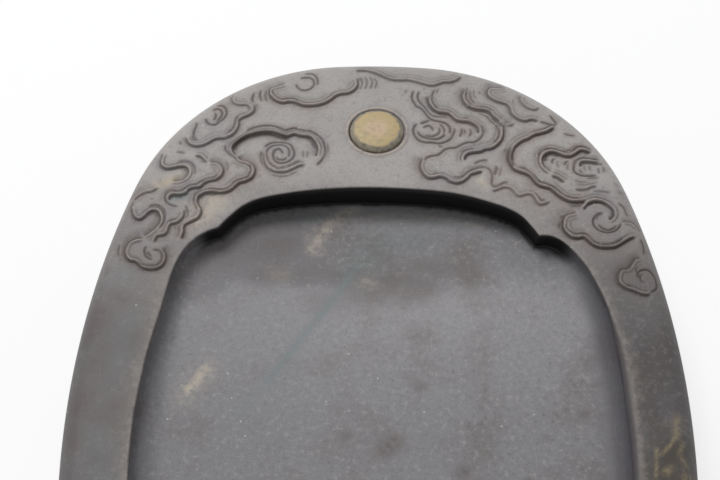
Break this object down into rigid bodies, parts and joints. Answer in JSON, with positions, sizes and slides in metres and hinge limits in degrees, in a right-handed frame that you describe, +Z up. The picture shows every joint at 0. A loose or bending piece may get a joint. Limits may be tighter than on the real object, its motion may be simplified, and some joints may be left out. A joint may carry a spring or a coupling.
{
  "type": "ink stone",
  "caption": "Oval ink stone with a raised rim, a cusped ink well that deepens to a pool, and a carved forehead with a round stone eye.",
  "frame": {"origin": "middle of the base, on the surface that the stone rests on", "axes": "+Z up, +Y along the length towards the carved forehead, +X to the right seen from the user's side"},
  "size_m": [0.1432, 0.2012, 0.0294],
  "materials": {
    "stone": "honed purple-grey slate, softly polished by hand",
    "eye_stone": "tan and greenish grey mineral, softly polished"
  },
  "bodies": {
    "root": {"stone_block": "stone", "stone_eye": "eye_stone"}
  },
  "joints": []
}
